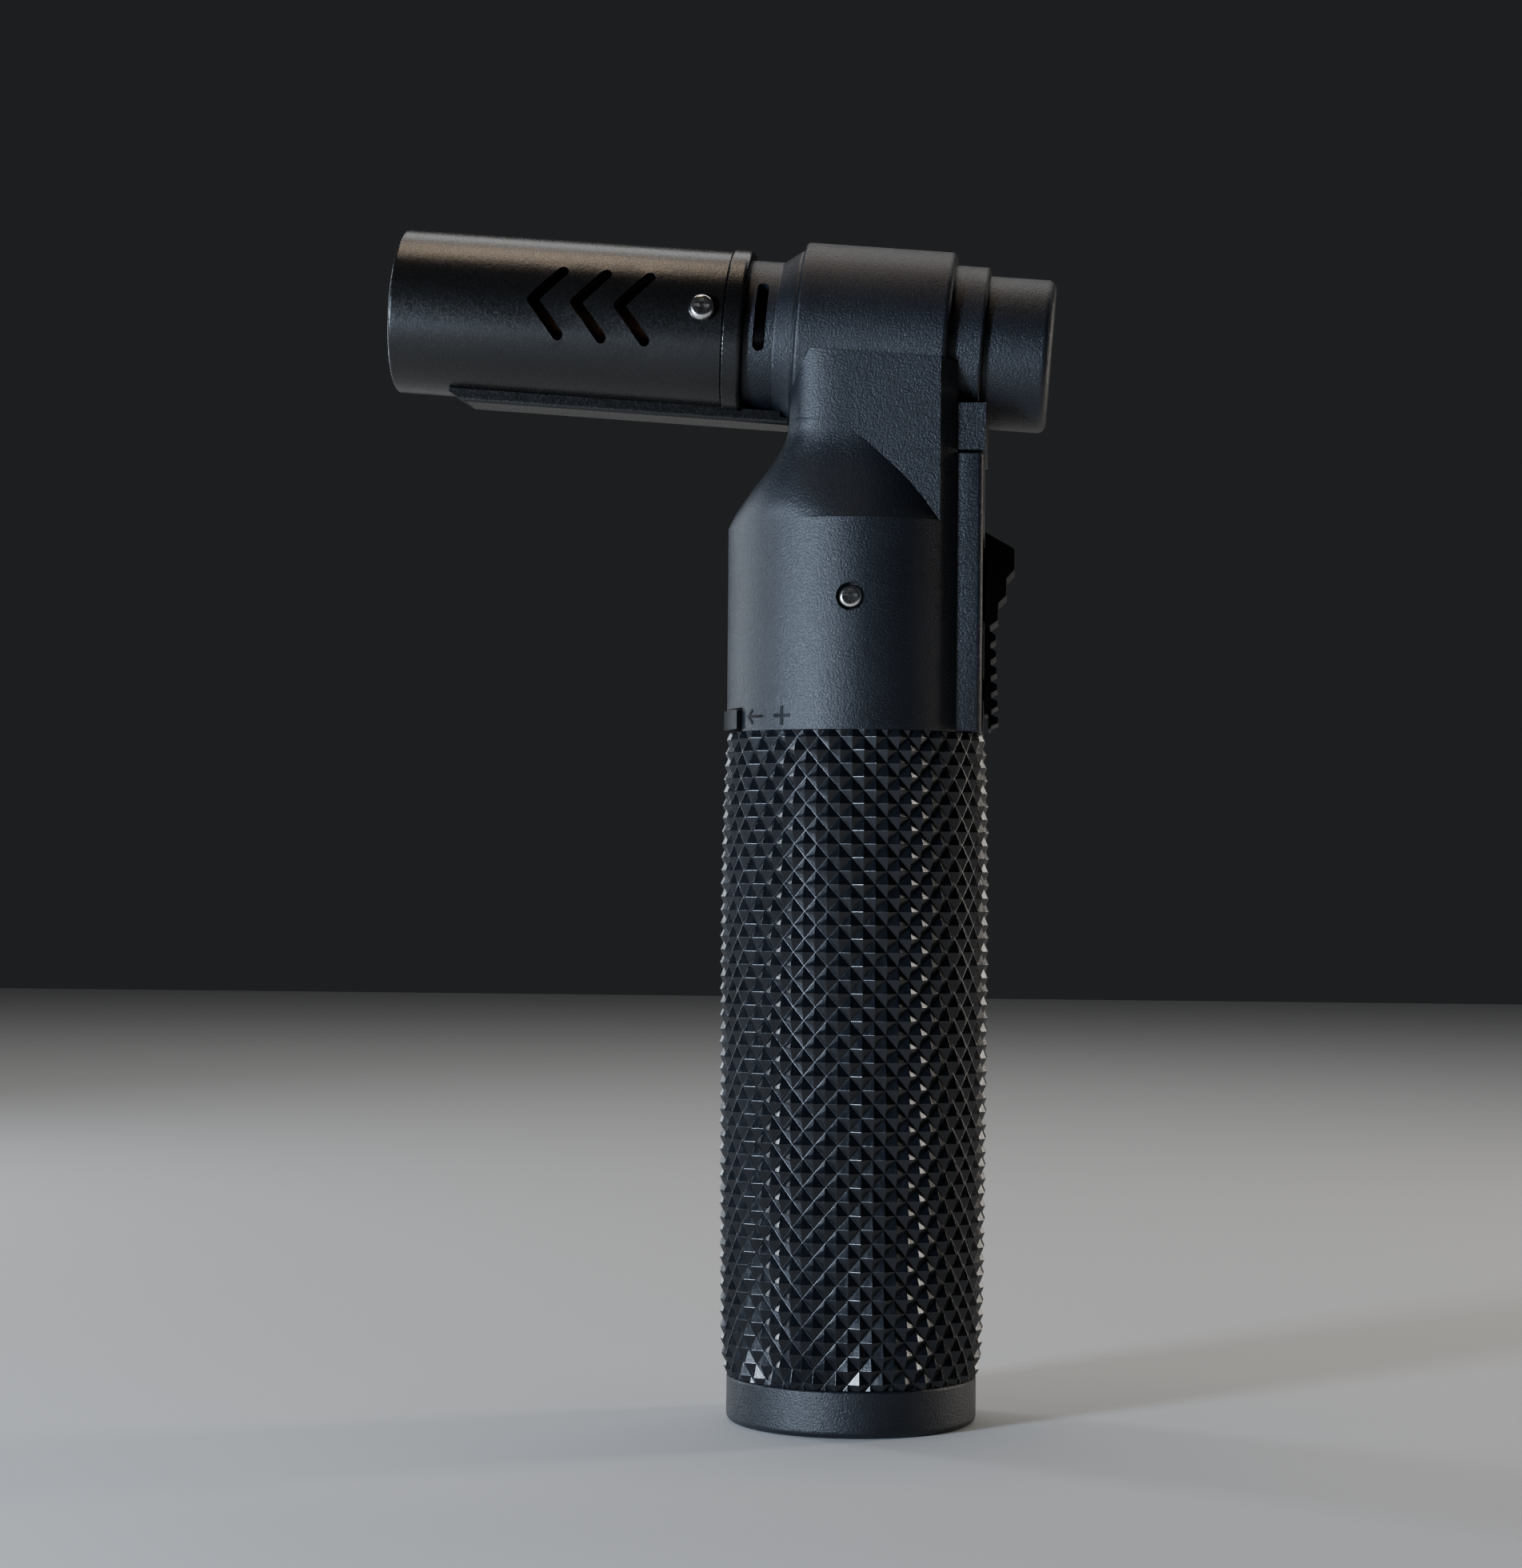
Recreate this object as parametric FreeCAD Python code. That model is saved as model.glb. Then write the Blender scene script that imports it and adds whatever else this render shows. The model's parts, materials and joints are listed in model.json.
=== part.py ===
import FreeCAD, Part
import math
import os
from FreeCAD import Vector

# Butane micro torch. Millimetres. The origin is the centre of the base's bottom face, +Z runs up
# the handle, the nozzle points to -X and the thumb trigger is at +X.

# ---- handle ----
CAP_RADIUS = 17.2
CAP_HEIGHT = 6.4
GRIP_TOP = 94.4
GRIP_OUTLINE = [(17.4, 6.4), (17.8, 8.0), (18.15, 12.7), (18.3, 25.0), (18.5, 60.0), (18.4, 81.0),
                (18.1, 90.0), (17.8, 94.4)]
GRIP_BORE = 16.4
TANK_RADIUS = 16.2
TANK_WALL = 1.4
TANK_BOTTOM = 10.2
TANK_TOP = 88.0
LID_TOP = 91.0
WELL_RADIUS = 6.0
WELL_DEPTH = 3.0

# ---- upper housing ----
BODY_RADIUS = 17.8
SHOULDER = 122.6
NECK_FOOT = BODY_RADIUS - 0.06
FACET_START = 132.4
FACET_EASE = 1.2
FACET_HALF_WIDTH = 13.4
NECK_FRONT = 9.3
NECK_FRONT_TOP = 136.0
SHELL_WALL = 1.6
BLOCK_HALF_WIDTH = 11.0
BLOCK_BACK = 17.4
BLOCK_TOP = 132.3
SPINE_BACK = 17.7
SPINE_TOP = 138.6
COLLAR_LOW = 136.2
FACET_TOP = -3.0
NECK_LOFT_TOP = 136.5
TAPER_TOP = 133.9

# ---- barrel, measured along its own axis from the handle's axis towards the nozzle ----
BARREL_TILT = math.radians(4.35)
BARREL_HEIGHT = 148.3
HEAD_RADIUS = 13.25
HEAD_BACK = -12.7
HEAD_BACK_X = 13.9
HEAD_FRONT = 8.05
COLLAR_RADIUS = 11.54
COLLAR_BACK = -17.4
REAR_CAP_RADIUS = 10.4
REAR_CAP_BACK = -26.5
INTAKE_RADIUS = 10.3
INTAKE_FRONT = 15.1
INTAKE_SLOT_PLACE = 13.0
INTAKE_SLOT_END = 0.8
INTAKE_SLOT_SPAN = 46.0
SHROUD_BACK = 17.9
SHROUD_FRONT = 63.8
SHROUD_RADIUS = 11.2
SHROUD_WALL = 0.8
FLANGE_RADIUS = 11.6
RAIL_DEPTH = 12.4
RAIL_HALF_WIDTH = 4.0
SHROUD_SCREW_ANGLES = (82.0, 278.0)
SHROUD_SCREW_PLACE = 20.9
CHEVRON_PLACES = (43.0, 37.05, 31.1)
CHEVRON_HALF_HEIGHT = 4.4
CHEVRON_RUN = 3.7
CHEVRON_HALF_SLOT = 0.75
CHEVRON_LIFT = 6.0
BURNER_RADIUS = 7.0
BURNER_FRONT = 56.0
WIRE_RADIUS = 0.45
WIRE_DEPTH = 11.75
ELECTRODE_DEPTH = 8.75
WIRE_SIDE = 2.6

# ---- valve gear ----
LEG_CIRCLE = 12.2
LEG_PLACES = [(LEG_CIRCLE * math.cos(math.radians(angle)), LEG_CIRCLE * math.sin(math.radians(angle)))
              for angle in (75, 285, 0)]
VALVE_NECK = 3.5
VALVE_TOP = 104.0
STEM_RADIUS = 1.2
PIN_X = -4.6
PIN_Z = 106.2
PIN_RADIUS = 0.75
LEVER_HALF_WIDTH = 5.4
LEVER_THICKNESS = 1.2
TRIGGER_TRAVEL = 5.0
TRIGGER_BOTTOM = 108.95
SLIDE_GAP = 0.25
THUMB_HALF_WIDTH = 5.5
WEB_LOW = 110.0
WEB_HIGH = 120.0
WEB_HALF_WIDTH = 2.0
SLOT_HALF_WIDTH = 2.4
SLOT_GAP = 0.4
LOCK_TRAVEL = 2.0
TONGUE_LOW = 99.0
TONGUE_HIGH = 102.0
SCREW_HEIGHT = 112.0
ADJUSTER_LOW = 94.7
ADJUSTER_HIGH = 97.3
GAS_RISER_X = 3.5

RUNNING_FIT = 0.05


# ---------------------------------------------------------------- shapes

def box(x_range, y_range, z_range):
    """Box between three pairs of limits."""
    sizes = [high - low for low, high in (x_range, y_range, z_range)]
    return Part.makeBox(*sizes, Vector(x_range[0], y_range[0], z_range[0]))


def rod(radius, low, high, x=0.0, y=0.0):
    """Upright cylinder."""
    return Part.makeCylinder(radius, high - low, Vector(x, y, low))


def tube(outer, inner, low, high):
    """Upright tube on the Z axis."""
    return rod(outer, low, high).cut(rod(inner, low - 1, high + 1))


def cross_rod(radius, half_length, x, z):
    """Cylinder along Y, centred on the XZ plane."""
    return Part.makeCylinder(radius, 2 * half_length, Vector(x, -half_length, z), Vector(0, 1, 0))


def outline(corners):
    """Closed wire in the XZ plane through (x, z, rounding) corners, each rounded by an arc."""
    points = [Vector(corner[0], 0, corner[1]) for corner in corners]
    roundings = [corner[2] if len(corner) > 2 else 0.0 for corner in corners]
    count = len(points)
    joins = []
    for index, (point, rounding) in enumerate(zip(points, roundings)):
        if rounding == 0:
            joins.append((point, None, point))
            continue
        back = (points[index - 1] - point).normalize()
        ahead = (points[(index + 1) % count] - point).normalize()
        half_angle = back.getAngle(ahead) / 2
        middle_way = (back + ahead).normalize()
        reach = rounding / math.tan(half_angle)
        middle = point + middle_way * (rounding / math.sin(half_angle) - rounding)
        joins.append((point + back * reach, middle, point + ahead * reach))
    edges = []
    for index, (first, middle, last) in enumerate(joins):
        if middle is not None:
            edges.append(Part.Arc(first, middle, last).toShape())
        following = joins[(index + 1) % count][0]
        if last.distanceToPoint(following) > 1e-6:
            edges.append(Part.LineSegment(last, following).toShape())
    return Part.Wire(edges)


def turned(corners):
    """Solid of revolution about Z from (radius, z, rounding) corners."""
    return Part.Face(outline(corners)).revolve(Vector(), Vector(0, 0, 1), 360)


def slab(corners, half_width, middle=0.0):
    """Plate of an XZ outline, with its thickness across Y."""
    face = Part.Face(outline(corners))
    face.translate(Vector(0, middle - half_width, 0))
    return face.extrude(Vector(0, 2 * half_width, 0))


def on_barrel(shape):
    """Move a shape built on the Z axis to the barrel: X becomes up, Z runs to the nozzle."""
    sine = math.sin(BARREL_TILT)
    cosine = math.cos(BARREL_TILT)
    matrix = FreeCAD.Matrix(sine, 0, -cosine, 0,
                            0, 1, 0, 0,
                            cosine, 0, sine, BARREL_HEIGHT,
                            0, 0, 0, 1)
    moved = shape.copy()
    moved.Placement = FreeCAD.Placement(matrix).multiply(moved.Placement)
    return moved


def barrel_point(along, below, across=0.0):
    """Point at a distance along the barrel and below its axis."""
    sine = math.sin(BARREL_TILT)
    cosine = math.cos(BARREL_TILT)
    return Vector(-cosine * along - sine * below, across, BARREL_HEIGHT + sine * along - cosine * below)


def turned_about(shape, angle):
    """Copy of a shape turned about Z by an angle in degrees."""
    moved = shape.copy()
    moved.rotate(Vector(), Vector(0, 0, 1), angle)
    return moved


def mirrored(shape):
    """The shape and its mirror image across the XZ plane."""
    return [shape, shape.mirror(Vector(), Vector(0, 1, 0))]


def join(*shapes):
    """Union as one clean solid."""
    return shapes[0].multiFuse(list(shapes[1:])).removeSplitter()


def radial_rod(radius, inner, outer, angle, along):
    """Rod pointing out from the Z axis, at an angle from +X and a height."""
    direction = Vector(math.cos(math.radians(angle)), math.sin(math.radians(angle)), 0)
    return Part.makeCylinder(radius, outer - inner, direction * inner + Vector(0, 0, along), direction)


def bent_path(points, bend):
    """Wire of straight runs joined by tangent arcs."""
    edges = []
    start = points[0]
    for point, following in zip(points[1:-1], points[2:]):
        back = (start - point).normalize()
        ahead = (following - point).normalize()
        half_angle = back.getAngle(ahead) / 2
        reach = bend / math.tan(half_angle)
        middle = point + (back + ahead).normalize() * (bend / math.sin(half_angle) - bend)
        edges.append(Part.LineSegment(start, point + back * reach).toShape())
        edges.append(Part.Arc(point + back * reach, middle, point + ahead * reach).toShape())
        start = point + ahead * reach
    edges.append(Part.LineSegment(start, points[-1]).toShape())
    return Part.Wire(edges)


def bent_rod(points, bend, radius):
    """Round rod along a bent path."""
    section = Part.Wire(Part.Circle(points[0], points[1] - points[0], radius).toShape())
    return bent_path(points, bend).makePipeShell([section], True, False)


def coil_spring(radius, wire, low, high, turns, x=0.0):
    """Open coil spring on an upright axis."""
    height = high - low - 2 * wire
    path = Part.Wire(Part.makeHelix(height / turns, height, radius))
    section = Part.Wire(Part.Circle(Vector(radius, 0, 0), Vector(0, 1, 0), wire).toShape())
    spring = path.makePipeShell([section], True, True)
    spring.translate(Vector(x, 0, low + wire))
    return spring


def o_ring(radius, section, z):
    """Seal ring about Z."""
    return Part.makeTorus(radius, section, Vector(0, 0, z))


def screw(head_radius, head_height, shank_radius, shank_length):
    """Pan head screw with a cross recess, its head's underside at z = 0, pointing down."""
    head = turned([(0, 0), (head_radius, 0), (head_radius, head_height, 0.7 * head_height),
                   (0, head_height)])
    arm = 0.62 * head_radius
    slot = 0.17 * head_radius
    depth = 0.6 * head_height
    for half_x, half_y in ((arm, slot), (slot, arm)):
        recess = box((-half_x, half_x), (-half_y, half_y), (head_height - depth, head_height + 1))
        head = head.cut(recess)
    return join(head, rod(shank_radius, -shank_length, 0.01))


# ---------------------------------------------------------------- handle

def make_base_cap():
    """Foot of the handle, with the refill well in its middle."""
    outer = turned([(WELL_RADIUS, 0), (CAP_RADIUS, 0, 1.0), (CAP_RADIUS, CAP_HEIGHT, 0.4),
                    (GRIP_BORE - 0.05, CAP_HEIGHT), (GRIP_BORE - 0.05, TANK_BOTTOM - 0.1),
                    (14.6, TANK_BOTTOM - 0.1), (14.6, WELL_DEPTH + 1.6), (3.3, WELL_DEPTH + 1.6),
                    (3.3, WELL_DEPTH), (WELL_RADIUS, WELL_DEPTH)])
    return outer


def make_grip_sleeve():
    """Knurled sleeve over the tank: its outline runs over the knurl's peaks."""
    curve = Part.BSplineCurve()
    curve.interpolate([Vector(radius, 0, z) for radius, z in GRIP_OUTLINE])
    low = GRIP_OUTLINE[0][1]
    corners = [Vector(GRIP_OUTLINE[-1][0], 0, GRIP_TOP), Vector(GRIP_BORE, 0, GRIP_TOP),
               Vector(GRIP_BORE, 0, low), Vector(GRIP_OUTLINE[0][0], 0, low)]
    edges = [curve.toShape()] + [Part.LineSegment(first, last).toShape()
                                 for first, last in zip(corners, corners[1:])]
    return Part.Face(Part.Wire(edges)).revolve(Vector(), Vector(0, 0, 1), 360)


def make_fuel_tank():
    """Open can that holds the liquid butane."""
    inner = TANK_RADIUS - TANK_WALL
    return turned([(3.05, TANK_BOTTOM), (TANK_RADIUS, TANK_BOTTOM, 1.2), (TANK_RADIUS, TANK_TOP),
                   (inner, TANK_TOP), (inner, TANK_BOTTOM + 2.4, 1.0), (6.0, TANK_BOTTOM + 2.4),
                   (6.0, TANK_BOTTOM + 5.0), (3.05, TANK_BOTTOM + 5.0)])


def make_tank_lid():
    """Lid plugged into the tank, with the gas valve's socket."""
    plug = TANK_RADIUS - TANK_WALL - 0.1
    lid = turned([(5.05, TANK_TOP - 4), (plug, TANK_TOP - 4, 0.4), (plug, TANK_TOP),
                  (TANK_RADIUS, TANK_TOP), (TANK_RADIUS, LID_TOP, 0.3), (7.5, LID_TOP),
                  (7.5, LID_TOP + 2.5), (5.05, LID_TOP + 2.5)])
    groove = tube(plug + 1, plug - 1.1, TANK_TOP - 2.8, TANK_TOP - 1.4)
    lid = lid.cut(groove)
    for x, y in LEG_PLACES:
        lid = lid.cut(rod(0.9, TANK_TOP - 1, LID_TOP + 1, x, y))
    return lid


def make_tank_seal():
    return o_ring(TANK_RADIUS - TANK_WALL - 0.65, 0.55, TANK_TOP - 2.1)


def make_refill_valve_body():
    """Brass filling valve screwed into the tank's floor from below."""
    low = WELL_DEPTH + 0.3
    return turned([(1.0, low), (2.4, low, 0.3), (3.0, low + 1.0), (3.0, 8.0), (5.2, 8.0, 0.3),
                   (5.2, TANK_BOTTOM - 0.05), (4.9, TANK_BOTTOM - 0.05), (4.9, TANK_BOTTOM - 0.75),
                   (3.9, TANK_BOTTOM - 0.75), (3.9, TANK_BOTTOM - 0.05), (3.0, TANK_BOTTOM - 0.05),
                   (3.0, 19.0, 0.4), (1.0, 19.0), (1.0, 18.0), (2.0, 18.0), (2.0, 12.5),
                   (1.0, 12.5)])


def make_refill_valve_seal():
    return o_ring(4.4, 0.35, TANK_BOTTOM - 0.4)


def make_refill_stem():
    """Spring-loaded pin that the gas can's nozzle pushes up."""
    return turned([(0, 3.2), (1.0 - RUNNING_FIT, 3.2, 0.2), (1.0 - RUNNING_FIT, 12.8), (1.6, 12.8),
                   (1.6, 13.8, 0.2), (0, 13.8)])


def make_refill_spring():
    return coil_spring(1.35, 0.2, 13.9, 17.9, 4)


# ---------------------------------------------------------------- gas valve

def make_gas_valve_body():
    """Brass valve through the tank's lid, with its side outlet above the chassis floor."""
    body = turned([(2.2, 80.0), (5.0, 80.0, 0.3), (5.0, 93.0, 0.3), (VALVE_NECK, 93.0),
                   (VALVE_NECK, VALVE_TOP, 0.3), (STEM_RADIUS + RUNNING_FIT, VALVE_TOP),
                   (STEM_RADIUS + RUNNING_FIT, 90.0), (2.2, 90.0)])
    port = Part.makeCylinder(1.6, 4.0, Vector(-2.6, 0, 102.4), Vector(-1, 0, 0))
    bore = Part.makeCylinder(1.05, 4.0, Vector(-3.2, 0, 102.4), Vector(-1, 0, 0))
    return join(body, port.cut(rod(2.4, 95, 110))).cut(bore)


def make_gas_filter():
    return turned([(0, 77.4), (4.2, 77.4, 0.4), (4.2, 79.95), (0, 79.95)])


def make_valve_stem():
    """Stem that the lever lifts by its collar to open the gas."""
    return turned([(0, 84.0), (1.9, 84.0, 0.3), (1.9, 85.6, 0.3), (STEM_RADIUS, 85.6),
                   (STEM_RADIUS, 107.15), (2.0, 107.15), (2.0, 108.3, 0.3), (STEM_RADIUS, 108.3),
                   (STEM_RADIUS, 109.2, 0.3), (0, 109.2)])


def make_valve_spring():
    return coil_spring(1.7, 0.22, 85.75, 89.9, 3)


def make_valve_lever():
    """Forked lever: its eye turns on the pin, its plate lifts the stem, its fork rides the trigger."""
    half = LEVER_THICKNESS / 2
    plate = box((PIN_X, 3.2), (-LEVER_HALF_WIDTH, LEVER_HALF_WIDTH), (PIN_Z - half, PIN_Z + half))
    arms = [box((3.0, 14.0), (side - 0.75, side + 0.75), (PIN_Z - half, PIN_Z + half))
            for side in (-LEVER_HALF_WIDTH + 0.75, LEVER_HALF_WIDTH - 0.75)]
    eye = cross_rod(1.7, LEVER_HALF_WIDTH, PIN_X, PIN_Z)
    lever = join(plate, eye, *arms)
    lever = lever.cut(box((-2.0, 2.0), (-1.6, 1.6), (PIN_Z - 2, PIN_Z + 2)))
    return lever.cut(cross_rod(PIN_RADIUS + RUNNING_FIT, 10, PIN_X, PIN_Z))


def make_lever_pin():
    return cross_rod(PIN_RADIUS, 7.6, PIN_X, PIN_Z)


def make_regulator_wheel():
    """Splined brass wheel that sets the valve's opening."""
    wheel = tube(6.0, VALVE_NECK + RUNNING_FIT, ADJUSTER_LOW, ADJUSTER_HIGH)
    teeth = [turned_about(box((5.8, 6.4), (-0.35, 0.35), (ADJUSTER_LOW, ADJUSTER_HIGH)), 30 * step)
             for step in range(12)]
    return join(wheel, *teeth)


def adjuster_sector(outer, inner, first, last, low, high):
    """Ring sector, with angles in degrees from the nozzle side towards -Y."""
    ring = tube(outer, inner, low, high)
    wedge = Part.makeCylinder(outer + 1, high - low, Vector(0, 0, low), Vector(0, 0, 1), last - first)
    return ring.common(turned_about(wedge, 180 + first))


def make_adjuster_ring():
    """Flame adjuster: hub on the regulator wheel, with a finger tab through the housing's slot."""
    hub = tube(9.0, 6.0, ADJUSTER_LOW, ADJUSTER_HIGH)
    arm = adjuster_sector(15.2, 8.8, 17, 28, ADJUSTER_LOW, ADJUSTER_HIGH)
    tab = adjuster_sector(18.4, 14.8, 13.5, 31.5, ADJUSTER_LOW, ADJUSTER_HIGH)
    ring = join(hub, arm, tab)
    keyways = [turned_about(box((5.5, 6.45), (-0.4, 0.4), (ADJUSTER_LOW - 1, ADJUSTER_HIGH + 1)),
                            30 * step) for step in range(12)]
    for keyway in keyways:
        ring = ring.cut(keyway)
    return ring


# ---------------------------------------------------------------- chassis

def make_chassis():
    """Inner frame that carries the valve gear and the igniter, and takes the housing's screws."""
    floor = rod(15.7, 98.6, 100.6).cut(rod(VALVE_NECK + 0.15, 95, 105))
    floor = floor.cut(box((14.4, 20), (-20, 20), (90, 110)))
    for side in (-14.0, 14.0):
        floor = floor.cut(box((12.0, 20), (side - 5, side + 5), (90, 110)))
    legs = [rod(2.0, LID_TOP, 98.7, x, y) for x, y in LEG_PLACES]
    side = slab([(-8, 100), (14.3, 100), (14.3, 135.3, 1.0), (6.5, 135.3, 1.0), (6.5, 118), (2, 115.5, 1.0),
                 (-8, 115.5, 2.0)], 0.9, 7.1)
    ear = slab([(PIN_X - 2.2, 100), (PIN_X + 2.2, 100), (PIN_X + 2.2, 108.6, 1.5),
                (PIN_X - 2.2, 108.6, 1.5)], 0.4, 6.0)
    cradle = box((7.5, 14.3), (4.05, 6.4), (118, 134))
    boss = Part.makeCylinder(2.6, 7.8, Vector(0, 8.0, SCREW_HEIGHT), Vector(0, 1, 0))
    hole = Part.makeCylinder(1.0, 12.0, Vector(0, 6.0, SCREW_HEIGHT), Vector(0, 1, 0))
    halves = mirrored(join(side, ear, cradle, boss).cut(hole))
    frame = join(floor, *legs, *halves)
    frame = frame.cut(cross_rod(PIN_RADIUS, 10, PIN_X, PIN_Z))
    for x, y in LEG_PLACES:
        frame = frame.cut(rod(0.95, LID_TOP - 1, 102, x, y))
    return frame


def make_chassis_screws():
    screws = []
    for x, y in LEG_PLACES:
        fixing = screw(1.7, 1.1, 0.88, 11.0)
        fixing.translate(Vector(x, y, 100.62))
        screws.append(fixing)
    return Part.makeCompound(screws)


# ---------------------------------------------------------------- housing

def neck_depth(z):
    """Reach of the neck's front ahead of the handle's axis: an S-curve from shoulder to barrel."""
    part = min(1.0, max(0.0, (z - SHOULDER) / (NECK_FRONT_TOP - SHOULDER)))
    return NECK_FRONT + (NECK_FOOT - NECK_FRONT) * (1 - part) ** 2 * (1 + 1.2 * part)


def neck_width(z):
    """Half width of the neck: a taper from the shoulder that eases into the flat facets."""
    taper = (NECK_FOOT - FACET_HALF_WIDTH) / (FACET_START - SHOULDER)
    rise = taper * (FACET_START - z)
    if rise > FACET_EASE:
        return FACET_HALF_WIDTH + rise
    if rise < -FACET_EASE:
        return FACET_HALF_WIDTH
    return FACET_HALF_WIDTH + (rise + FACET_EASE) ** 2 / (4 * FACET_EASE)


def neck_section(z, inset):
    """Front half of the neck's section: a circle at the shoulder, a rounded square further up."""
    depth = neck_depth(z) - inset
    width = neck_width(z) - inset
    power = 2.0 + 2.2 * min(1.0, (z - SHOULDER) / 9.0)
    points = []
    steps = 20
    for step in range(steps + 1):
        angle = math.pi * step / steps - math.pi / 2
        x = -depth * abs(math.cos(angle)) ** (2 / power)
        y = width * math.copysign(abs(math.sin(angle)) ** (2 / power), angle)
        points.append(Vector(x, y, z))
    points[0].x = points[-1].x = 0.0
    curve = Part.BSplineCurve()
    curve.interpolate(Points=points, InitialTangent=Vector(-1, 0, 0), FinalTangent=Vector(1, 0, 0))
    return Part.Wire([curve.toShape(), Part.LineSegment(points[-1], points[0]).toShape()])


def housing_solid(inset):
    """Solid of the housing's outer shape, or of its hollow when inset by the wall."""
    heights = [SHOULDER + step * (NECK_LOFT_TOP - SHOULDER) / 9 for step in range(10)]
    lower = Part.makeLoft([neck_section(z, inset) for z in heights], True, False)
    upper = Part.makeLoft([neck_section(z, inset) for z in (NECK_LOFT_TOP, 149.0)], True, True)
    radius = BODY_RADIUS - inset
    width = FACET_HALF_WIDTH - inset
    steps = [SHOULDER + step * (TAPER_TOP - SHOULDER) / 9 for step in range(10)]
    curve = Part.BSplineCurve()
    curve.interpolate([Vector(neck_width(z) - inset - 0.03, 0, z) for z in steps])
    sides = Part.makePolygon([curve.EndPoint, Vector(width - 0.5, 0, TAPER_TOP + 1.3),
                              Vector(0, 0, TAPER_TOP + 1.3), Vector(0, 0, SHOULDER), curve.StartPoint])
    taper = Part.Face(Part.Wire([curve.toShape()] + sides.Edges)).revolve(Vector(), Vector(0, 0, 1), 360)
    taper = taper.common(box((0.0, 30), (-30, 30), (SHOULDER, 160)))
    back = rod(radius, SHOULDER - 1, 149).common(box((0.0, 30), (-width, width), (SHOULDER - 1, 149)))
    behind = box((HEAD_BACK_X - inset, 40), (-40, 40), (COLLAR_LOW - inset, 170))
    neck = join(lower, upper, taper, back)
    above_axis = on_barrel(box((FACET_TOP, 40), (-40, 40), (-60, 60)))
    ahead = on_barrel(box((-40, 40), (-40, 40), (HEAD_FRONT - inset, 60)))
    ahead = ahead.common(box((-60, 60), (-40, 40), (136.1, 170)))
    neck = neck.cut(above_axis).cut(ahead).cut(behind)
    spine = box((5, SPINE_BACK - inset), (inset - BLOCK_HALF_WIDTH, BLOCK_HALF_WIDTH - inset),
                (BLOCK_TOP, SPINE_TOP - inset))
    head = on_barrel(turned([(0, HEAD_BACK + inset), (HEAD_RADIUS - inset, HEAD_BACK + inset, 0.8),
                             (HEAD_RADIUS - inset, HEAD_FRONT - inset, 0.6),
                             (0, HEAD_FRONT - inset)]))
    body = rod(radius, GRIP_TOP - (inset > 0) * 10, SHOULDER)
    return join(body, neck, spine, head)


def make_upper_housing():
    """Moulded shell of the body, neck and head."""
    shell = housing_solid(0.0)
    collar = on_barrel(turned([(0, COLLAR_BACK), (COLLAR_RADIUS, COLLAR_BACK, 0.5),
                               (COLLAR_RADIUS, HEAD_BACK + 1), (0, HEAD_BACK + 1)]))
    spigot = tube(GRIP_BORE - 0.1, 14.9, LID_TOP + 0.1, GRIP_TOP + 0.4)
    shell = join(shell, collar).cut(housing_solid(SHELL_WALL))
    shell = shell.cut(on_barrel(rod(REAR_CAP_RADIUS + 0.05, -30, COLLAR_BACK)))
    window = box((11.0, 30), (-BLOCK_HALF_WIDTH, BLOCK_HALF_WIDTH), (GRIP_TOP - 1, BLOCK_TOP))
    slot = adjuster_sector(20, 14, -33, 33, GRIP_TOP, ADJUSTER_HIGH + 0.3)
    shell = join(shell, spigot).cut(window.common(rod(30, GRIP_TOP, 200))).cut(slot)
    shell = shell.cut(on_barrel(rod(9.95, -30, HEAD_BACK + 5)))
    shell = shell.cut(on_barrel(rod(11.05, HEAD_FRONT - 5, HEAD_FRONT + 20)))
    for side in (-1, 1):
        recess = Part.makeCylinder(1.9, 5, Vector(0, side * 16.8, SCREW_HEIGHT), Vector(0, side, 0))
        hole = Part.makeCylinder(1.05, 9, Vector(0, side * 12, SCREW_HEIGHT), Vector(0, side, 0))
        shell = shell.cut(recess).cut(hole)
    wire_way = [barrel_point(4, WIRE_DEPTH), barrel_point(14, WIRE_DEPTH)]
    direction = wire_way[1] - wire_way[0]
    shell = shell.cut(Part.makeCylinder(0.9, 10, wire_way[0], direction))
    return shell


def make_back_cover():
    """Flat back of the body, with the slots for the trigger and the lock."""
    half = BLOCK_HALF_WIDTH - 0.04
    low = GRIP_TOP + 0.05
    high = BLOCK_TOP - 0.35
    profile = Part.Face(Part.Wire([
        Part.LineSegment(Vector(12.2, -half, low), Vector(12.2, half, low)).toShape(),
        Part.LineSegment(Vector(12.2, half, low), Vector(BLOCK_BACK, half, low)).toShape(),
        Part.LineSegment(Vector(BLOCK_BACK, half, low), Vector(BLOCK_BACK, -half, low)).toShape(),
        Part.LineSegment(Vector(BLOCK_BACK, -half, low), Vector(12.2, -half, low)).toShape()]))
    block = profile.extrude(Vector(0, 0, high - low))
    rounded = [edge for edge in block.Edges
               if abs(edge.CenterOfMass.x - BLOCK_BACK) < 0.01 and abs(edge.CenterOfMass.y) > 10]
    block = block.makeFillet(0.8, rounded)
    hollow = box((10, BLOCK_BACK - 1.5), (1.5 - half, half - 1.5), (low - 1, high + 1))
    cover = block.cut(hollow)
    slot_width = (-SLOT_HALF_WIDTH, SLOT_HALF_WIDTH)
    cover = cover.cut(box((10, 20), slot_width, (WEB_LOW - SLOT_GAP, WEB_HIGH + TRIGGER_TRAVEL + SLOT_GAP)))
    return cover.cut(box((10, 20), slot_width, (TONGUE_LOW - LOCK_TRAVEL - SLOT_GAP, TONGUE_HIGH + SLOT_GAP)))


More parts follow.
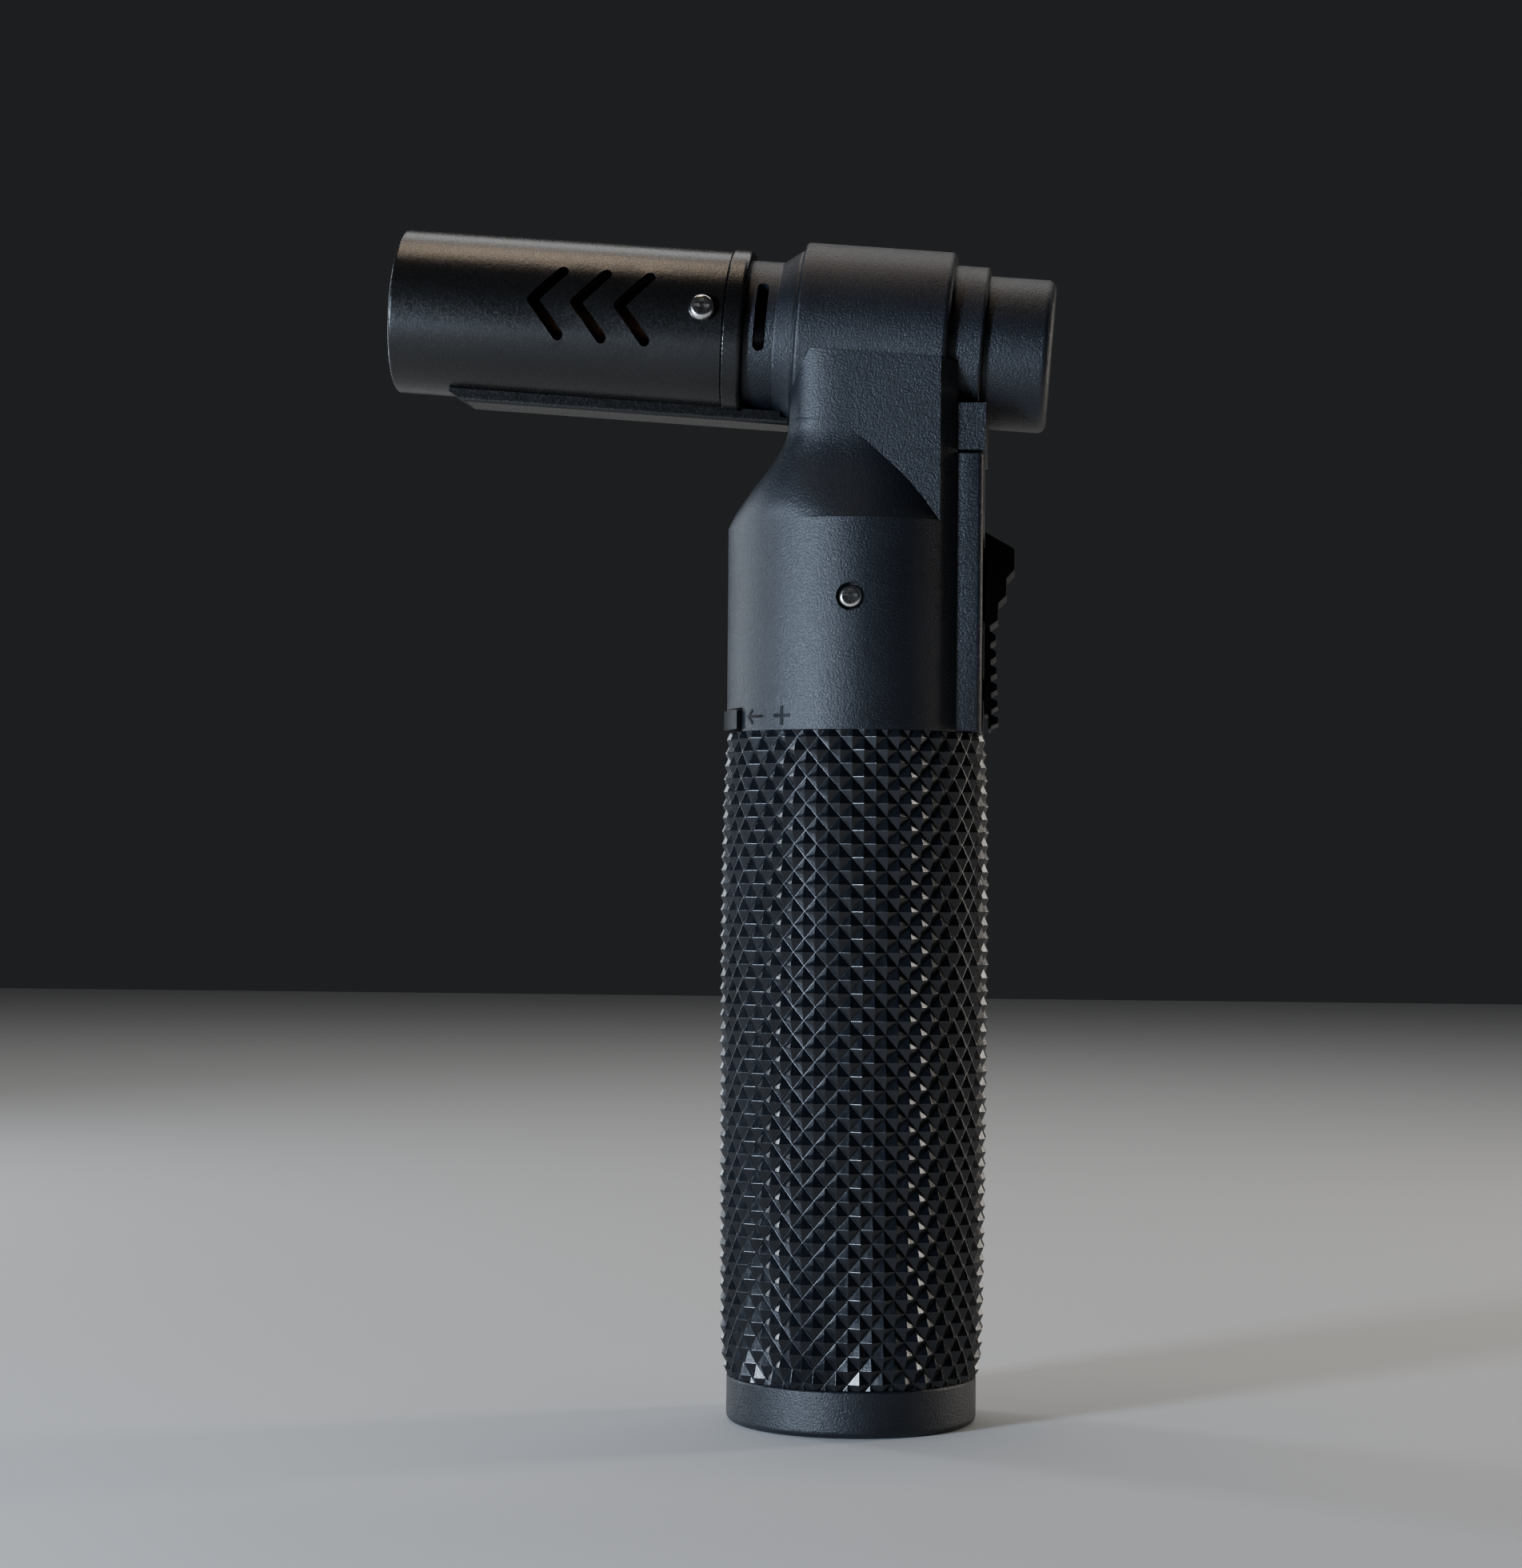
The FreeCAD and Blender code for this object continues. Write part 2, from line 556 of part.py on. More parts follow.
def make_housing_screws():
    screws = []
    for side in (-1, 1):
        fixing = screw(1.6, 0.9, 0.98, 6.5)
        fixing.rotate(Vector(), Vector(1, 0, 0), -90 * side)
        fixing.translate(Vector(0, side * 16.82, SCREW_HEIGHT))
        screws.append(fixing)
    return Part.makeCompound(screws)


def make_rear_cap():
    """Plug that closes the back of the head."""
    cap = turned([(0, REAR_CAP_BACK), (REAR_CAP_RADIUS, REAR_CAP_BACK, 1.2),
                  (REAR_CAP_RADIUS, COLLAR_BACK - 0.05), (9.9, COLLAR_BACK - 0.05), (9.9, -12.0, 0.4),
                  (8.4, -12.0), (8.4, REAR_CAP_BACK + 2.0), (0, REAR_CAP_BACK + 2.0)])
    return on_barrel(cap)


# ---------------------------------------------------------------- trigger, igniter and lock

def make_trigger():
    """Stepped thumb piece with its web, retaining plate and inner arms."""
    face = BLOCK_BACK + SLIDE_GAP
    steps = [(face, TRIGGER_BOTTOM), (18.3, TRIGGER_BOTTOM), (19.5, TRIGGER_BOTTOM + 0.9, 0.3),
             (19.5, 112.1, 0.3), (20.6, 113.2, 0.3), (20.6, 115.5, 0.3), (21.7, 116.7, 0.3),
             (21.7, 119.5, 0.5), (face, 121.8, 0.0)]
    thumb = slab(steps, THUMB_HALF_WIDTH)
    web = box((15.4, face + 0.5), (-WEB_HALF_WIDTH, WEB_HALF_WIDTH), (WEB_LOW, WEB_HIGH))
    plate = box((15.0, 15.6), (-4.2, 4.2), (103.0, 126.5))
    striker = box((8.9, 15.2), (-2.2, 2.2), (108.0, 110.0))
    fork_bar = box((12.4, 15.2), (-LEVER_HALF_WIDTH, LEVER_HALF_WIDTH), (104.05, 105.25))
    return join(thumb, web, plate, striker, fork_bar)


def make_piezo_igniter():
    """Spark unit: its plunger's bore and return spring are in its lower half."""
    case = box((8.0, 14.0), (-4.0, 4.0), (117.0, 135.5))
    bore = box((9.2, 12.8), (-2.0, 2.0), (116.0, 128.3))
    terminal = Part.makeCylinder(1.0, 1.0, Vector(7.5, WIRE_SIDE, 133.5), Vector(1, 0, 0))
    return join(case, terminal).cut(bore)


def make_piezo_plunger():
    return box((9.4, 12.6), (-1.8, 1.8), (110.02, 118.3))


def make_piezo_spring():
    return coil_spring(1.2, 0.3, 118.4, 128.2, 6, 11.0)


def make_lock_slide():
    """Ribbed safety slide under the trigger, hooked over the grip's top edge."""
    face = BLOCK_BACK + SLIDE_GAP
    high = TRIGGER_BOTTOM - 0.3
    strip = slab([(face, 97.0), (18.25, 97.0), (18.25, 94.95), (18.45, 94.95), (18.7, 95.4), (18.4, high),
                  (face, high)], THUMB_HALF_WIDTH)
    ribs = []
    for index in range(6):
        z = 96.2 + 2.25 * index
        crest = 19.6 - 0.085 * index
        ribs.append(slab([(18.3, z - 0.95), (crest, z - 0.35, 0.2), (crest, z + 0.35, 0.2),
                          (18.3, z + 0.95)], THUMB_HALF_WIDTH))
    tongue = box((15.4, face + 0.3), (-WEB_HALF_WIDTH, WEB_HALF_WIDTH), (TONGUE_LOW, TONGUE_HIGH))
    plate = box((15.0, 15.6), (-4.2, 4.2), (98.0, 102.6))
    return join(strip, tongue, plate, *ribs)


# ---------------------------------------------------------------- gas train

def make_gas_tube():
    """Metal line from the valve to the jet."""
    route = [Vector(-3.9, 0, 102.4), Vector(-11.0, 0, 102.4), Vector(-11.0, 0, 118.0),
             Vector(GAS_RISER_X, 0, 134.0), Vector(GAS_RISER_X, 0, 145.2)]
    return bent_rod(route, 3.0, 1.0).cut(bent_rod(route, 3.0, 0.55))


def make_jet_holder():
    """Brass elbow that turns the gas towards the nozzle."""
    holder = on_barrel(turned([(0, -8.0), (4.0, -8.0, 0.5), (4.0, 0.0, 0.3), (1.4, 0.0), (1.4, -2.6),
                               (0.9, -2.6), (0.9, -5.5), (0, -5.5)]))
    stub = rod(1.9, 142.4, 145.5, GAS_RISER_X)
    holder = join(holder, stub)
    return holder.cut(rod(1.03, 141, 145.4, GAS_RISER_X)).cut(rod(0.7, 145, 148.0, GAS_RISER_X))


def make_gas_jet():
    return on_barrel(turned([(0.3, -2.5), (1.38, -2.5), (1.38, 0.8), (0.8, 2.2), (0.3, 2.2)]))


def make_mixer_tube():
    """Tube where the jet draws in air: side windows, then a flare up to the burner tube."""
    mixer = turned([(4.05, -5.0), (4.9, -5.0), (4.9, 6.0), (6.3, 14.0), (6.3, 22.0), (5.7, 22.0),
                    (5.7, 14.2), (4.05, 6.2)])
    for step in range(4):
        mixer = mixer.cut(turned_about(box((0, 10), (-1.7, 1.7), (1.0, 5.0)), 45 + 90 * step))
    return on_barrel(mixer.cut(box((-10, 0), (-2.1, 2.1), (-6.0, -1.2))))


def wire_groove():
    """Cutter for the wire's way along the underside of the barrel, on the Z axis."""
    return rod(WIRE_RADIUS + 0.05, 0, 44.0, -WIRE_DEPTH)


def make_air_intake_sleeve():
    """Slotted sleeve between the head and the shroud."""
    sleeve = turned([(11.0, HEAD_FRONT - 1.5), (11.0, HEAD_FRONT + 0.02), (12.0, HEAD_FRONT + 0.02),
                     (12.0, HEAD_FRONT + 0.45), (INTAKE_RADIUS, 10.9, 0.4), (INTAKE_RADIUS, INTAKE_FRONT),
                     (9.4, INTAKE_FRONT), (9.4, SHROUD_BACK - 0.05), (8.7, SHROUD_BACK - 0.05),
                     (8.7, HEAD_FRONT - 1.5)])
    half_turn = INTAKE_SLOT_SPAN / 2
    for centre in SHROUD_SCREW_ANGLES:
        cutter = Part.makeCylinder(20, 2 * INTAKE_SLOT_END, Vector(0, 0, INTAKE_SLOT_PLACE - INTAKE_SLOT_END),
                                   Vector(0, 0, 1), INTAKE_SLOT_SPAN)
        sleeve = sleeve.cut(turned_about(cutter, centre - half_turn))
        for end in (centre - half_turn, centre + half_turn):
            sleeve = sleeve.cut(radial_rod(INTAKE_SLOT_END, 5.0, 20.0, end, INTAKE_SLOT_PLACE))
    return on_barrel(sleeve.cut(wire_groove()))


def make_flange_ring():
    ring = turned([(9.45, INTAKE_FRONT + 0.02), (FLANGE_RADIUS, INTAKE_FRONT + 0.02, 0.7),
                   (FLANGE_RADIUS, SHROUD_BACK - 0.02, 0.2), (9.45, SHROUD_BACK - 0.02)])
    return on_barrel(ring.cut(wire_groove()))


def make_burner_mount():
    """Ring that centres the burner tube and takes the shroud's screws."""
    mount = turned([(7.05, 18.0), (SHROUD_RADIUS - SHROUD_WALL - 0.05, 18.0),
                    (SHROUD_RADIUS - SHROUD_WALL - 0.05, 24.5, 0.6), (7.05, 24.5)])
    spigot = tube(8.65, 7.3, 15.2, 18.2)
    mount = join(mount, spigot)
    for angle in SHROUD_SCREW_ANGLES:
        mount = mount.cut(radial_rod(0.9, 6.0, 12.0, angle, SHROUD_SCREW_PLACE))
    return on_barrel(mount)


def chevron_slot(along, side):
    """Cutter for one chevron, its point towards the nozzle, on the +Y or -Y side of the barrel."""
    arms = []
    for way in (-1, 1):
        start = Vector(0, 0, along + 1.05)
        end = Vector(way * CHEVRON_HALF_HEIGHT, 0, along + 1.05 - CHEVRON_RUN)
        direction = (end - start).normalize()
        normal = Vector(-direction.z, 0, direction.x) * CHEVRON_HALF_SLOT
        corners = [start + normal, end + normal, end - normal, start - normal]
        edges = [Part.LineSegment(corners[0], corners[1]).toShape(),
                 Part.Arc(corners[1], end + direction * CHEVRON_HALF_SLOT, corners[2]).toShape(),
                 Part.LineSegment(corners[2], corners[3]).toShape(),
                 Part.Arc(corners[3], start - direction * CHEVRON_HALF_SLOT, corners[0]).toShape()]
        arms.append(Part.Face(Part.Wire(edges)).extrude(Vector(0, 20 * side, 0)))
    cutter = join(*arms)
    cutter.translate(Vector(0, side * 5, 0))
    return turned_about(cutter, -side * CHEVRON_LIFT)


def make_nozzle_shroud():
    """Perforated metal sleeve round the burner tube."""
    inner = SHROUD_RADIUS - SHROUD_WALL
    shroud = turned([(inner, SHROUD_BACK), (SHROUD_RADIUS + 0.1, SHROUD_BACK, 0.2),
                     (SHROUD_RADIUS, SHROUD_FRONT, 0.4), (inner, SHROUD_FRONT, 0.3)])
    for along in CHEVRON_PLACES:
        for side in (-1, 1):
            shroud = shroud.cut(chevron_slot(along, side))
    for angle in SHROUD_SCREW_ANGLES:
        shroud = shroud.cut(radial_rod(1.0, 9.0, 14.0, angle, SHROUD_SCREW_PLACE))
    shroud = shroud.cut(box((-14, -9), (-1.2, 1.2), (40.0, 46.0)))
    return on_barrel(shroud)


def make_shroud_screws():
    screws = []
    for angle in SHROUD_SCREW_ANGLES:
        fixing = screw(1.78, 1.1, 0.88, 3.6)
        fixing.rotate(Vector(), Vector(0, 1, 0), 90)
        fixing = turned_about(fixing, angle)
        reach = SHROUD_RADIUS + 0.12
        fixing.translate(Vector(reach * math.cos(math.radians(angle)),
                                reach * math.sin(math.radians(angle)), SHROUD_SCREW_PLACE))
        screws.append(on_barrel(fixing))
    return Part.makeCompound(screws)


def make_burner_tube():
    return on_barrel(turned([(BURNER_RADIUS - 0.65, 19.8), (BURNER_RADIUS, 19.8),
                             (BURNER_RADIUS, BURNER_FRONT, 0.2), (BURNER_RADIUS - 0.65, BURNER_FRONT)]))


def make_flame_holder():
    """Perforated disc that the flame stands on."""
    disc = turned([(0, 48.5), (BURNER_RADIUS - 0.7, 48.5), (BURNER_RADIUS - 0.7, 53.0, 0.4), (0, 53.0)])
    disc = disc.cut(rod(1.6, 48, 54))
    for step in range(8):
        disc = disc.cut(turned_about(rod(0.8, 48, 54, 3.9), 45 * step))
    for step in range(12):
        disc = disc.cut(turned_about(rod(0.35, 48, 54, 5.6), 30 * step))
    return on_barrel(disc)


def make_wire_rail():
    """Channel under the shroud that hides the ignition wire."""
    low = HEAD_FRONT + 0.5
    run = [(-RAIL_DEPTH, low), (-9.0, low), (-9.0, 55.8), (-11.1, 55.8), (-RAIL_DEPTH, 53.2)]
    rail = slab([(x, z) for x, z in run], RAIL_HALF_WIDTH)
    edges = [edge for edge in rail.Edges if edge.Length > 20 and abs(edge.CenterOfMass.x) > 12]
    rail = rail.makeFillet(0.6, edges)
    rail = rail.cut(rod(SHROUD_RADIUS + 0.12, 0, 70))
    rail = rail.cut(rod(FLANGE_RADIUS + 0.03, INTAKE_FRONT - 0.05, SHROUD_BACK + 0.05))
    rail = rail.cut(rod(12.05, 0, HEAD_FRONT + 1.7))
    riser = box((-WIRE_DEPTH - 0.5, -9), (-0.6, 0.6), (40.5, 46))
    return on_barrel(rail.cut(wire_groove()).cut(riser))


def make_ignition_wire():
    """Insulated wire from the spark unit, through the rail, to the electrode."""
    route = [Vector(7.5, WIRE_SIDE, 133.5), Vector(-1.0, WIRE_SIDE, 133.5), barrel_point(5.5, WIRE_DEPTH),
             barrel_point(41.8, WIRE_DEPTH), barrel_point(44.8, ELECTRODE_DEPTH),
             barrel_point(48.2, ELECTRODE_DEPTH)]
    return bent_rod(route, 1.6, WIRE_RADIUS)


def make_electrode_insulator():
    insulator = turned([(0.5, 48.25), (1.4, 48.25, 0.2), (1.4, 55.0), (1.0, 56.5), (0.5, 56.5)])
    insulator.translate(Vector(-ELECTRODE_DEPTH, 0, 0))
    return on_barrel(insulator)


def make_electrode():
    """Spark pin, bent up towards the burner's rim."""
    route = [barrel_point(48.3, ELECTRODE_DEPTH), barrel_point(58.6, ELECTRODE_DEPTH),
             barrel_point(60.2, 6.6)]
    return bent_rod(route, 0.8, 0.47)


PARTS = {
    "base_cap": make_base_cap,
    "grip_sleeve": make_grip_sleeve,
    "fuel_tank": make_fuel_tank,
    "tank_lid": make_tank_lid,
    "tank_seal": make_tank_seal,
    "refill_valve_body": make_refill_valve_body,
    "refill_valve_seal": make_refill_valve_seal,
    "refill_stem": make_refill_stem,
    "refill_spring": make_refill_spring,
    "gas_valve_body": make_gas_valve_body,
    "gas_filter": make_gas_filter,
    "valve_stem": make_valve_stem,
    "valve_spring": make_valve_spring,
    "valve_lever": make_valve_lever,
    "lever_pin": make_lever_pin,
    "regulator_wheel": make_regulator_wheel,
    "adjuster_ring": make_adjuster_ring,
    "chassis": make_chassis,
    "chassis_screws": make_chassis_screws,
    "upper_housing": make_upper_housing,
    "back_cover": make_back_cover,
    "housing_screws": make_housing_screws,
    "rear_cap": make_rear_cap,
    "trigger": make_trigger,
    "piezo_igniter": make_piezo_igniter,
    "piezo_plunger": make_piezo_plunger,
    "piezo_spring": make_piezo_spring,
    "lock_slide": make_lock_slide,
    "gas_tube": make_gas_tube,
    "jet_holder": make_jet_holder,
    "gas_jet": make_gas_jet,
    "mixer_tube": make_mixer_tube,
    "air_intake_sleeve": make_air_intake_sleeve,
    "flange_ring": make_flange_ring,
    "burner_mount": make_burner_mount,
    "burner_tube": make_burner_tube,
    "flame_holder": make_flame_holder,
    "nozzle_shroud": make_nozzle_shroud,
    "shroud_screws": make_shroud_screws,
    "wire_rail": make_wire_rail,
    "ignition_wire": make_ignition_wire,
    "electrode_insulator": make_electrode_insulator,
    "electrode": make_electrode,
}

os.makedirs("parts", exist_ok=True)
for name, make in PARTS.items():
    shape = make()
    valid = shape.isValid() and all(solid.Volume > 0 for solid in shape.Solids)
    print(f"{name:20s} solids {len(shape.Solids)} volume {shape.Volume:9.1f} valid {valid}")
    shape.exportStep(f"parts/{name}.step")
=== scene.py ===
import json
import math

import bmesh
import bpy
import numpy as np
from mathutils import Matrix, Vector


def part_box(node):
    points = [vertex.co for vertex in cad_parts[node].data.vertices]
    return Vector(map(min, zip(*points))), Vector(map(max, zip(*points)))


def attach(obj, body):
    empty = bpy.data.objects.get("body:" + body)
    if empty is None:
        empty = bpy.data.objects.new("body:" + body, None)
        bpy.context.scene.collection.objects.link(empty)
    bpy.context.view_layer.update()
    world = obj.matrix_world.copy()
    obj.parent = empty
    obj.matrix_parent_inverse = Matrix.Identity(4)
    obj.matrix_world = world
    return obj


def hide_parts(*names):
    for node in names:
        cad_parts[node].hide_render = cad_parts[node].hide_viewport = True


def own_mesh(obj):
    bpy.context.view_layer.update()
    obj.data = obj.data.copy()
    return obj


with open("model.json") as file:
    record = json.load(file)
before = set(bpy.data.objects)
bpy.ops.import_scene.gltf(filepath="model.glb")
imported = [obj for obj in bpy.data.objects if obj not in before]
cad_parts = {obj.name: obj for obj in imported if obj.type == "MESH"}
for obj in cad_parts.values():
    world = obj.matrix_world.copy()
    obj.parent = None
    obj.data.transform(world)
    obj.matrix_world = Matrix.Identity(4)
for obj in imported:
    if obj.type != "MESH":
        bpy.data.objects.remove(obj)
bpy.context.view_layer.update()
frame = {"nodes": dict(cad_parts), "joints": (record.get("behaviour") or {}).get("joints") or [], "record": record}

MM = 0.001
nodes = frame["nodes"]
scene = bpy.context.scene


# ---------------------------------------------------------------- camera, floor and lights

HANDLE_DISTANCE = 0.458
EYE_HEIGHT = 0.0748
AZIMUTH = math.radians(3.0)
AIM_OFFSET = math.radians(1.62)
LEAN = math.radians(0.45)


def add_camera():
    """Level camera in front of the barrel's side, rolled a little as the torch leans."""
    data = bpy.data.cameras.new("view_camera")
    camera = bpy.data.objects.new("view_camera", data)
    scene.collection.objects.link(camera)
    data.lens = 76.2
    data.sensor_width = 36.0
    data.shift_y = 0.0587
    data.clip_start = 0.02
    camera.location = (math.sin(AZIMUTH) * HANDLE_DISTANCE, -math.cos(AZIMUTH) * HANDLE_DISTANCE,
                       EYE_HEIGHT)
    level = Matrix.Rotation(AZIMUTH + AIM_OFFSET, 4, "Z") @ Matrix.Rotation(math.pi / 2, 4, "X")
    turn = level @ Matrix.Rotation(LEAN, 4, "Z")
    camera.rotation_euler = turn.to_euler()
    scene.camera = camera


def add_floor():
    """Square of plain pale paper that the torch stands on."""
    half = 1.6
    corners = [(-half, -half, 0), (half, -half, 0), (half, half, 0), (-half, half, 0)]
    mesh = bpy.data.meshes.new("floor")
    mesh.from_pydata(corners, [], [(0, 1, 2, 3)])
    floor = bpy.data.objects.new("floor", mesh)
    scene.collection.objects.link(floor)
    paint = bpy.data.materials.new("floor_paper")
    paint.use_nodes = True
    shader = paint.node_tree.nodes["Principled BSDF"]
    shader.inputs["Base Color"].default_value = (0.72, 0.72, 0.71, 1)
    shader.inputs["Roughness"].default_value = 0.8
    mesh.materials.append(paint)


def add_light(name, place, target, size, power, colour):
    """Rectangular soft light at a place, facing a target."""
    data = bpy.data.lights.new(name, "AREA")
    data.shape = "RECTANGLE"
    data.size, data.size_y = size
    data.energy = power
    data.color = colour
    light = bpy.data.objects.new(name, data)
    light.location = place
    aim = Vector(target) - Vector(place)
    light.rotation_euler = aim.to_track_quat("-Z", "Y").to_euler()
    scene.collection.objects.link(light)


def add_lights():
    """Soft lights round a dim studio: name, place, target, size, power and colour of each."""
    middle = (0, 0, 0.085)
    blue = (0.66, 0.80, 1.0)
    cool = (0.80, 0.89, 1.0)
    warm = (1.0, 0.93, 0.85)
    amber = (1.0, 0.80, 0.62)
    add_light("key_left", (-0.40, -0.42, 0.06), middle, (0.09, 0.24), 7.5, blue)
    add_light("rim_left", (-0.52, 0.30, 0.14), middle, (0.10, 0.50), 1.8, cool)
    add_light("rim_right", (0.52, 0.26, 0.14), middle, (0.09, 0.50), 1.6, warm)
    add_light("top", (-0.10, 0.02, 0.75), middle, (0.30, 0.16), 0.7, amber)
    add_light("floor_wash", (0.0, 0.55, 0.9), (0, 0.35, 0), (1.0, 0.4), 2.4, (1.0, 1.0, 1.0))
    world = bpy.data.worlds.new("studio")
    scene.world = world
    world.use_nodes = True
    background = world.node_tree.nodes["Background"]
    background.inputs["Color"].default_value = (0.80, 0.84, 0.90, 1)
    background.inputs["Strength"].default_value = 0.022


# ---------------------------------------------------------------- materials

NOISE_SPAN = (0.3, 0.7)


class Paint:
    """Small builder for one procedural material; NOISE_SPAN is the part of a noise's range that it uses."""

    def __init__(self, name, **values):
        self.material = bpy.data.materials.new(name)
        self.material.use_nodes = True
        self.tree = self.material.node_tree
        self.shader = self.tree.nodes["Principled BSDF"]
        for key, value in values.items():
            self.shader.inputs[key.replace("_", " ")].default_value = value
        self.place = self.tree.nodes.new("ShaderNodeTexCoord").outputs["Object"]
        self.normal = None

    def node(self, kind, inputs):
        made = self.tree.nodes.new("ShaderNode" + kind)
        for key, value in inputs.items():
            if isinstance(value, bpy.types.NodeSocket):
                self.tree.links.new(value, made.inputs[key])
            else:
                made.inputs[key].default_value = value
        return made

    def noise(self, size, detail, roughness, stretch=(1, 1, 1)):
        """Noise whose features are about size metres across."""
        mapping = self.node("Mapping", {"Vector": self.place, "Scale": stretch})
        made = self.node("TexNoise", {"Vector": mapping.outputs["Vector"], "Scale": 1.0 / size,
                                      "Detail": detail, "Roughness": roughness})
        return made.outputs[0]

    def roughness(self, noise, smoothest, roughest):
        """Roughness that follows a noise between two values."""
        made = self.node("MapRange", {"Value": noise, "From Min": NOISE_SPAN[0], "From Max": NOISE_SPAN[1],
                                      "To Min": smoothest, "To Max": roughest})
        self.tree.links.new(made.outputs[0], self.shader.inputs["Roughness"])

    def colour(self, noise, first, second):
        """Base colour that follows a noise from the first shade to the second."""
        ramp = self.node("ValToRGB", {"Fac": noise})
        for element, place, shade in zip(ramp.color_ramp.elements, NOISE_SPAN, (first, second)):
            element.position = place
            element.color = (*shade, 1)
        self.tree.links.new(ramp.outputs[0], self.shader.inputs["Base Color"])

    def bump(self, value, height, strength):
        """Relief of a height in metres, laid over any relief set before."""
        inputs = {"Height": value, "Distance": height, "Strength": strength}
        if self.normal is not None:
            inputs["Normal"] = self.normal
        self.normal = self.node("Bump", inputs).outputs[0]
        self.tree.links.new(self.normal, self.shader.inputs["Normal"])


def moulded_black():
    """Spark-eroded black plastic with fine glittering grain."""
    paint = Paint("moulded_black", Specular_IOR_Level=0.5)
    grain = paint.noise(0.00030, 3.0, 0.70)
    cloud = paint.noise(0.009, 4.0, 0.6)
    paint.colour(cloud, (0.0045, 0.0055, 0.0080), (0.0080, 0.0095, 0.0130))
    paint.roughness(grain, 0.30, 0.48)
    paint.bump(grain, 0.00012, 0.9)
    return paint.material


def grip_black():
    """Semi-gloss black plastic with fine drag lines on the facets."""
    paint = Paint("grip_black", Specular_IOR_Level=0.55)
    streaks = paint.noise(0.0009, 4.0, 0.6, (1.0, 1.0, 0.22))
    specks = paint.noise(0.00035, 2.0, 0.6)
    cloud = paint.noise(0.012, 3.0, 0.55)
    paint.colour(cloud, (0.0030, 0.0036, 0.0050), (0.0060, 0.0070, 0.0095))
    paint.roughness(streaks, 0.17, 0.32)
    paint.bump(streaks, 0.00003, 0.6)
    paint.bump(specks, 0.00002, 0.6)
    return paint.material


def control_black():
    """Smooth jet-black plastic, with little gloss, of the pieces a finger moves."""
    paint = Paint("control_black", Specular_IOR_Level=0.14)
    cloud = paint.noise(0.004, 4.0, 0.6)
    grain = paint.noise(0.00025, 2.0, 0.5)
    paint.colour(cloud, (0.0045, 0.0045, 0.0050), (0.0085, 0.0085, 0.0090))
    paint.roughness(cloud, 0.38, 0.50)
    paint.bump(grain, 0.00002, 0.5)
    return paint.material


def shroud_black():
    """Powder-coated steel: an orange-peel film with a fine pepper of grains."""
    paint = Paint("shroud_black", Specular_IOR_Level=0.55)
    grain = paint.noise(0.00030, 3.0, 0.65)
    peel = paint.noise(0.0016, 3.0, 0.5)
    cloud = paint.noise(0.015, 4.0, 0.6)
    paint.colour(cloud, (0.0030, 0.0028, 0.0028), (0.0060, 0.0054, 0.0050))
    paint.roughness(grain, 0.20, 0.33)
    paint.bump(peel, 0.00004, 0.5)
    paint.bump(grain, 0.00004, 0.7)
    return paint.material


def metal(name, shades, rough, stretch=(1, 1, 1), grain=0.0006, depth=0.00001):
    """Bare metal with fine machining or rolling marks; a stretch below 1 draws them out along that axis."""
    paint = Paint(name, Metallic=1.0)
    marks = paint.noise(grain, 4.0, 0.6, stretch)
    cloud = paint.noise(0.004, 4.0, 0.6)
    paint.colour(cloud, shades[0], shades[1])
    paint.roughness(marks, *rough)
    paint.bump(marks, depth, 0.8)
    return paint.material


def plain(name, shades, rough, grain=0.0004, depth=0.00002):
    """Moulded or fired piece with a slight cloud in its colour and a fine grain."""
    paint = Paint(name, Specular_IOR_Level=0.5)
    cloud = paint.noise(0.005, 4.0, 0.6)
    fine = paint.noise(grain, 3.0, 0.6)
    paint.colour(cloud, shades[0], shades[1])
    paint.roughness(fine, *rough)
    paint.bump(fine, depth, 0.7)
    return paint.material


def make_materials():
    """One finish for each of the record's material slots."""
    return {
        "housing": moulded_black(),
        "grip": grip_black(),
        "controls": control_black(),
        "shroud_metal": shroud_black(),
        "tank_plastic": plain("tank_nylon", ((0.55, 0.54, 0.50), (0.64, 0.63, 0.59)), (0.35, 0.5)),
        "igniter_plastic": plain("igniter_ivory", ((0.62, 0.60, 0.52), (0.72, 0.70, 0.62)),
                                 (0.22, 0.36)),
        "seal_rubber": plain("seal_rubber", ((0.010, 0.010, 0.010), (0.018, 0.018, 0.018)),
                             (0.45, 0.62)),
        "wire_sheath": plain("wire_sheath", ((0.020, 0.020, 0.021), (0.032, 0.032, 0.034)),
                             (0.40, 0.55)),
        "ceramic": plain("ceramic_white", ((0.70, 0.68, 0.62), (0.80, 0.79, 0.74)), (0.40, 0.60),
                         0.0003, 0.00003),
        "steel": metal("drawn_steel", ((0.46, 0.46, 0.46), (0.58, 0.58, 0.57)), (0.22, 0.40)),
        "screw_chrome": metal("bright_screw", ((0.70, 0.68, 0.65), (0.84, 0.82, 0.79)),
                              (0.10, 0.26), (1, 1, 1), 0.0003, 0.000008),
        "brass": metal("turned_brass", ((0.62, 0.42, 0.16), (0.74, 0.53, 0.24)), (0.18, 0.34),
                       (4.0, 0.5, 0.5)),
        # Brass darkened to a dark brown for the burner slot's pieces.
        "burner_metal": metal("dark_brown_brass", ((0.11, 0.055, 0.035), (0.20, 0.11, 0.07)),
                              (0.28, 0.48)),
    }


def paint_node(obj, material):
    obj.data.materials.clear()
    obj.data.materials.append(material)


# ---------------------------------------------------------------- pieces

def add_piece(name, mesh, body, slot, stands_for=()):
    """New visible piece that rides on a body and takes the finish of a slot."""
    piece = bpy.data.objects.new(name, mesh)
    scene.collection.objects.link(piece)
    paint_node(piece, MATERIALS[slot])
    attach(piece, body)
    if stands_for:
        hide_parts(*stands_for)
    return piece


